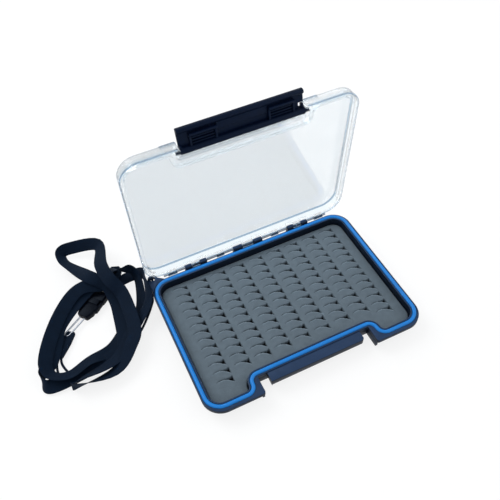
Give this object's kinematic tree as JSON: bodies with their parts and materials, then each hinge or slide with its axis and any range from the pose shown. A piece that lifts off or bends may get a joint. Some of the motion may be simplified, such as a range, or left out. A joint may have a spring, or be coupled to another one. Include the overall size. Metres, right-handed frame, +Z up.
{
  "type": "fly box",
  "caption": "Slim waterproof fly box, open: slit foam tray with a cord gasket, clear domed lid on a pin hinge, hooked front latch and a strap lanyard on a corner eye.",
  "frame": {"origin": "middle of the rim's rectangle, on the underside of the base", "axes": "+X along the hinge, +Y from the latch towards the hinge, +Z up"},
  "size_m": [0.2344, 0.1702, 0.1286],
  "materials": {
    "base_plastic": "moulded near-black plastic with a fine grain",
    "latch_plastic": "satin near-black plastic",
    "clear_plastic": "clear gloss plastic with a faint blue tint",
    "gasket_rubber": "satin blue silicone rubber",
    "foam": "closed-cell foam with a fine grain",
    "pin_steel": "drawn steel wire",
    "link_steel": "plated wire",
    "webbing": "woven polyester webbing",
    "buckle_plastic": "moulded black acetal",
    "cord_fabric": "braided cord"
  },
  "bodies": {
    "base": {"base_tray": "base_plastic", "gasket": "gasket_rubber", "foam_insert": "foam", "hinge_pin": "pin_steel", "strap": "webbing", "buckle_body": "buckle_plastic", "buckle_tongue": "buckle_plastic", "wire_link": "link_steel", "sleeve": "webbing", "cord_upper": "cord_fabric", "cord_lower": "cord_fabric"},
    "lid": {"lid": "clear_plastic"},
    "latch": {"latch": "latch_plastic"}
  },
  "joints": [
    {"name": "lid_hinge", "type": "hinge", "parent": "base", "child": "lid", "pos_m": [0, 0.05475, 0.01208], "axis": [1, 0, 0], "range_deg": [0, 86]},
    {"name": "latch_hinge", "type": "hinge", "parent": "lid", "child": "latch", "pos_m": [0, 0.04902, 0.11588], "axis": [1, 0, 0], "range_deg": [0, 105]}
  ]
}
